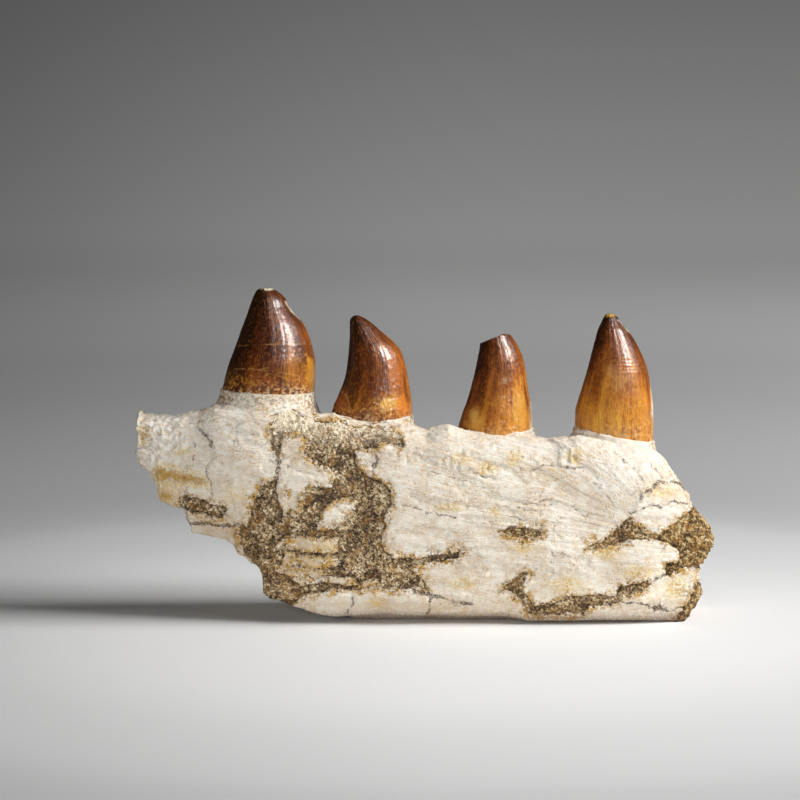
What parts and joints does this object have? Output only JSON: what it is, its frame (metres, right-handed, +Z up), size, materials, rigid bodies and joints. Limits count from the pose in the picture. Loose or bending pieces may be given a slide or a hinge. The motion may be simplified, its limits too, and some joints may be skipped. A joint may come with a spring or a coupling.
{
  "type": "fossil mosasaur jaw section with teeth",
  "caption": "Broken length of fossil mosasaur jaw that stands on its lower edge, with tooth crowns in sockets along the top and sandy rock in the gaps of the bone.",
  "frame": {"origin": "bottom centre of the whole object's box, on the surface it stands on", "axes": "+X along the jaw, from its broken left end to its right end as the outer face is seen; -Y is the outer face; +Z is up, towards the tooth tips"},
  "size_m": [0.2396, 0.0532, 0.1365],
  "materials": {
    "bone": "chalky off-white fossil bone with fine fibres, cracks and ochre stains",
    "rock": "coarse brown sandy phosphate rock",
    "enamel": "glossy fossil enamel, near-black to amber"
  },
  "bodies": {
    "root": {"jaw_bone": "bone", "rock_centre": "rock", "rock_left": "rock", "rock_lower_seam": "rock", "rock_upper_seam": "rock", "rock_lens": "rock", "rock_end": "rock", "rock_heel": "rock", "rock_back": "rock", "tooth_1": "enamel", "tooth_2": "enamel", "tooth_3": "enamel", "tooth_4": "enamel"}
  },
  "joints": []
}
